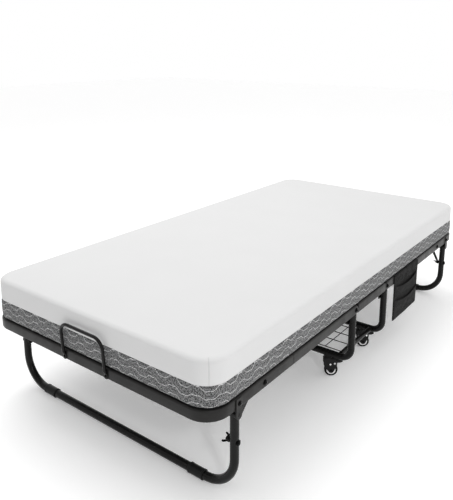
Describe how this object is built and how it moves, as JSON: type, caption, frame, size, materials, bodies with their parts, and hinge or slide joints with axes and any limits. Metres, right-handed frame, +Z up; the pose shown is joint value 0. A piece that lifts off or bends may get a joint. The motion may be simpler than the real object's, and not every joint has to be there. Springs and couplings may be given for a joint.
{
  "type": "rollaway bed",
  "caption": "Folding rollaway bed: wheeled centre section, two fold-up wire decks with drop-down braced legs, end hoops, storage shelf, hanging organizer and a foam mattress.",
  "frame": {"origin": "on the floor under the centre of the opened bed", "axes": "+X towards the head end, +Y across the bed towards its far side, +Z up"},
  "size_m": [1.9334, 0.973, 0.447],
  "materials": {
    "rail_paint": "satin",
    "tube_paint": "satin",
    "wire_paint": "satin",
    "bolt_steel": "satin",
    "plastic": "matte",
    "tyre": "matte",
    "grey_knit": "matte",
    "white_knit": "matte",
    "black_cloth": "matte"
  },
  "bodies": {
    "centre": {"centre_rail_far": "rail_paint", "centre_rail_near": "rail_paint", "centre_leg_head": "tube_paint", "centre_leg_foot": "tube_paint", "shelf_tube_far": "tube_paint", "shelf_tube_near": "tube_paint", "shelf_grid": "wire_paint", "mattress_centre_base": "grey_knit", "mattress_centre_top": "white_knit", "hinge_bolt_head_far": "bolt_steel", "hinge_bolt_head_near": "bolt_steel", "hinge_bolt_foot_far": "bolt_steel", "hinge_bolt_foot_near": "bolt_steel"},
    "head_deck": {"head_deck_frame": "rail_paint", "head_hinge_crossbar": "tube_paint", "head_mid_crossbar": "tube_paint", "head_deck_grid": "wire_paint", "head_mattress_hoop": "tube_paint", "head_leg_bracket_far": "rail_paint", "head_leg_bracket_near": "rail_paint", "mattress_head_base": "grey_knit", "mattress_head_top": "white_knit", "bag_panel": "black_cloth", "bag_pocket_upper": "black_cloth", "bag_pocket_lower": "black_cloth"},
    "foot_deck": {"foot_deck_frame": "rail_paint", "foot_hinge_crossbar": "tube_paint", "foot_mid_crossbar": "tube_paint", "foot_deck_grid": "wire_paint", "foot_mattress_hoop": "tube_paint", "foot_leg_bracket_far": "rail_paint", "foot_leg_bracket_near": "rail_paint", "mattress_foot_base": "grey_knit", "mattress_foot_top": "white_knit"},
    "head_leg": {"head_leg": "tube_paint", "head_floor_sleeve_far": "plastic", "head_floor_sleeve_near": "plastic"},
    "foot_leg": {"foot_leg": "tube_paint", "foot_floor_sleeve_far": "plastic", "foot_floor_sleeve_near": "plastic"},
    "head_brace_far": {"head_brace_far": "tube_paint"},
    "head_wing_nut_far": {"head_wing_nut_far": "bolt_steel"},
    "caster_fork_head_far": {"caster_fork_head_far": "plastic"},
    "caster_wheel_head_far": {"caster_wheel_head_far": "tyre"},
    "caster_brake_head_far": {"caster_brake_head_far": "plastic"},
    "head_brace_near": {"head_brace_near": "tube_paint"},
    "head_wing_nut_near": {"head_wing_nut_near": "bolt_steel"},
    "caster_fork_head_near": {"caster_fork_head_near": "plastic"},
    "caster_wheel_head_near": {"caster_wheel_head_near": "tyre"},
    "caster_brake_head_near": {"caster_brake_head_near": "plastic"},
    "foot_brace_far": {"foot_brace_far": "tube_paint"},
    "foot_wing_nut_far": {"foot_wing_nut_far": "bolt_steel"},
    "caster_fork_foot_far": {"caster_fork_foot_far": "plastic"},
    "caster_wheel_foot_far": {"caster_wheel_foot_far": "tyre"},
    "caster_brake_foot_far": {"caster_brake_foot_far": "plastic"},
    "foot_brace_near": {"foot_brace_near": "tube_paint"},
    "foot_wing_nut_near": {"foot_wing_nut_near": "bolt_steel"},
    "caster_fork_foot_near": {"caster_fork_foot_near": "plastic"},
    "caster_wheel_foot_near": {"caster_wheel_foot_near": "tyre"},
    "caster_brake_foot_near": {"caster_brake_foot_near": "plastic"}
  },
  "joints": [
    {"name": "head_fold", "type": "hinge", "parent": "centre", "child": "head_deck", "pos_m": [0.137, 0, 0.2885], "axis": [0, -1, 0], "range_deg": [0, 90], "deforming": ["mattress_centre_base", "mattress_centre_top", "mattress_head_top"]},
    {"name": "foot_fold", "type": "hinge", "parent": "centre", "child": "foot_deck", "pos_m": [-0.137, 0, 0.2885], "axis": [0, 1, 0], "range_deg": [0, 90], "deforming": ["mattress_centre_base", "mattress_centre_top", "mattress_foot_top"]},
    {"name": "head_leg_fold", "type": "hinge", "parent": "head_deck", "child": "head_leg", "pos_m": [0.837, 0, 0.255], "axis": [0, 1, 0], "range_deg": [0, 90]},
    {"name": "foot_leg_fold", "type": "hinge", "parent": "foot_deck", "child": "foot_leg", "pos_m": [-0.837, 0, 0.255], "axis": [0, -1, 0], "range_deg": [0, 90]},
    {"name": "head_brace_fold_far", "type": "hinge", "parent": "head_deck", "child": "head_brace_far", "pos_m": [0.712, 0.445, 0.2885], "axis": [0, 1, 0], "range_deg": [-43.52, 0]},
    {"name": "head_brace_fold_near", "type": "hinge", "parent": "head_deck", "child": "head_brace_near", "pos_m": [0.712, -0.445, 0.2885], "axis": [0, 1, 0], "range_deg": [-43.52, 0]},
    {"name": "foot_brace_fold_far", "type": "hinge", "parent": "foot_deck", "child": "foot_brace_far", "pos_m": [-0.712, 0.445, 0.2885], "axis": [0, -1, 0], "range_deg": [-43.52, 0]},
    {"name": "foot_brace_fold_near", "type": "hinge", "parent": "foot_deck", "child": "foot_brace_near", "pos_m": [-0.712, -0.445, 0.2885], "axis": [0, -1, 0], "range_deg": [-43.52, 0]},
    {"name": "head_wing_nut_turn_far", "type": "hinge", "parent": "head_leg", "child": "head_wing_nut_far", "pos_m": [0.837, 0.44, 0.17], "axis": [0, 1, 0], "continuous": true},
    {"name": "head_wing_nut_turn_near", "type": "hinge", "parent": "head_leg", "child": "head_wing_nut_near", "pos_m": [0.837, -0.44, 0.17], "axis": [0, 1, 0], "continuous": true},
    {"name": "foot_wing_nut_turn_far", "type": "hinge", "parent": "foot_leg", "child": "foot_wing_nut_far", "pos_m": [-0.837, 0.44, 0.17], "axis": [0, 1, 0], "continuous": true},
    {"name": "foot_wing_nut_turn_near", "type": "hinge", "parent": "foot_leg", "child": "foot_wing_nut_near", "pos_m": [-0.837, -0.44, 0.17], "axis": [0, 1, 0], "continuous": true},
    {"name": "caster_swivel_head_far", "type": "hinge", "parent": "centre", "child": "caster_fork_head_far", "pos_m": [0.137, 0.37, 0.08], "axis": [0, 0, 1], "continuous": true},
    {"name": "caster_roll_head_far", "type": "hinge", "parent": "caster_fork_head_far", "child": "caster_wheel_head_far", "pos_m": [0.14483, 0.35839, 0.025], "axis": [0.829, 0.5592, 0], "continuous": true},
    {"name": "caster_pedal_head_far", "type": "hinge", "parent": "caster_fork_head_far", "child": "caster_brake_head_far", "pos_m": [0.14818, 0.35342, 0.06], "axis": [0.829, 0.5592, 0], "range_deg": [0, 10]},
    {"name": "caster_swivel_head_near", "type": "hinge", "parent": "centre", "child": "caster_fork_head_near", "pos_m": [0.137, -0.37, 0.08], "axis": [0, 0, 1], "continuous": true},
    {"name": "caster_roll_head_near", "type": "hinge", "parent": "caster_fork_head_near", "child": "caster_wheel_head_near", "pos_m": [0.14483, -0.38161, 0.025], "axis": [0.829, 0.5592, 0], "continuous": true},
    {"name": "caster_pedal_head_near", "type": "hinge", "parent": "caster_fork_head_near", "child": "caster_brake_head_near", "pos_m": [0.14818, -0.38658, 0.06], "axis": [0.829, 0.5592, 0], "range_deg": [0, 10]},
    {"name": "caster_swivel_foot_far", "type": "hinge", "parent": "centre", "child": "caster_fork_foot_far", "pos_m": [-0.137, 0.37, 0.08], "axis": [0, 0, 1], "continuous": true},
    {"name": "caster_roll_foot_far", "type": "hinge", "parent": "caster_fork_foot_far", "child": "caster_wheel_foot_far", "pos_m": [-0.12917, 0.35839, 0.025], "axis": [0.829, 0.5592, 0], "continuous": true},
    {"name": "caster_pedal_foot_far", "type": "hinge", "parent": "caster_fork_foot_far", "child": "caster_brake_foot_far", "pos_m": [-0.12582, 0.35342, 0.06], "axis": [0.829, 0.5592, 0], "range_deg": [0, 10]},
    {"name": "caster_swivel_foot_near", "type": "hinge", "parent": "centre", "child": "caster_fork_foot_near", "pos_m": [-0.137, -0.37, 0.08], "axis": [0, 0, 1], "continuous": true},
    {"name": "caster_roll_foot_near", "type": "hinge", "parent": "caster_fork_foot_near", "child": "caster_wheel_foot_near", "pos_m": [-0.12917, -0.38161, 0.025], "axis": [0.829, 0.5592, 0], "continuous": true},
    {"name": "caster_pedal_foot_near", "type": "hinge", "parent": "caster_fork_foot_near", "child": "caster_brake_foot_near", "pos_m": [-0.12582, -0.38658, 0.06], "axis": [0.829, 0.5592, 0], "range_deg": [0, 10]}
  ],
  "couplings": [
    {"joint": "head_brace_fold_far", "follows": "head_leg_fold", "ratio": -0.48301},
    {"joint": "head_brace_fold_near", "follows": "head_leg_fold", "ratio": -0.48301},
    {"joint": "foot_brace_fold_far", "follows": "foot_leg_fold", "ratio": -0.48301},
    {"joint": "foot_brace_fold_near", "follows": "foot_leg_fold", "ratio": -0.48301}
  ]
}
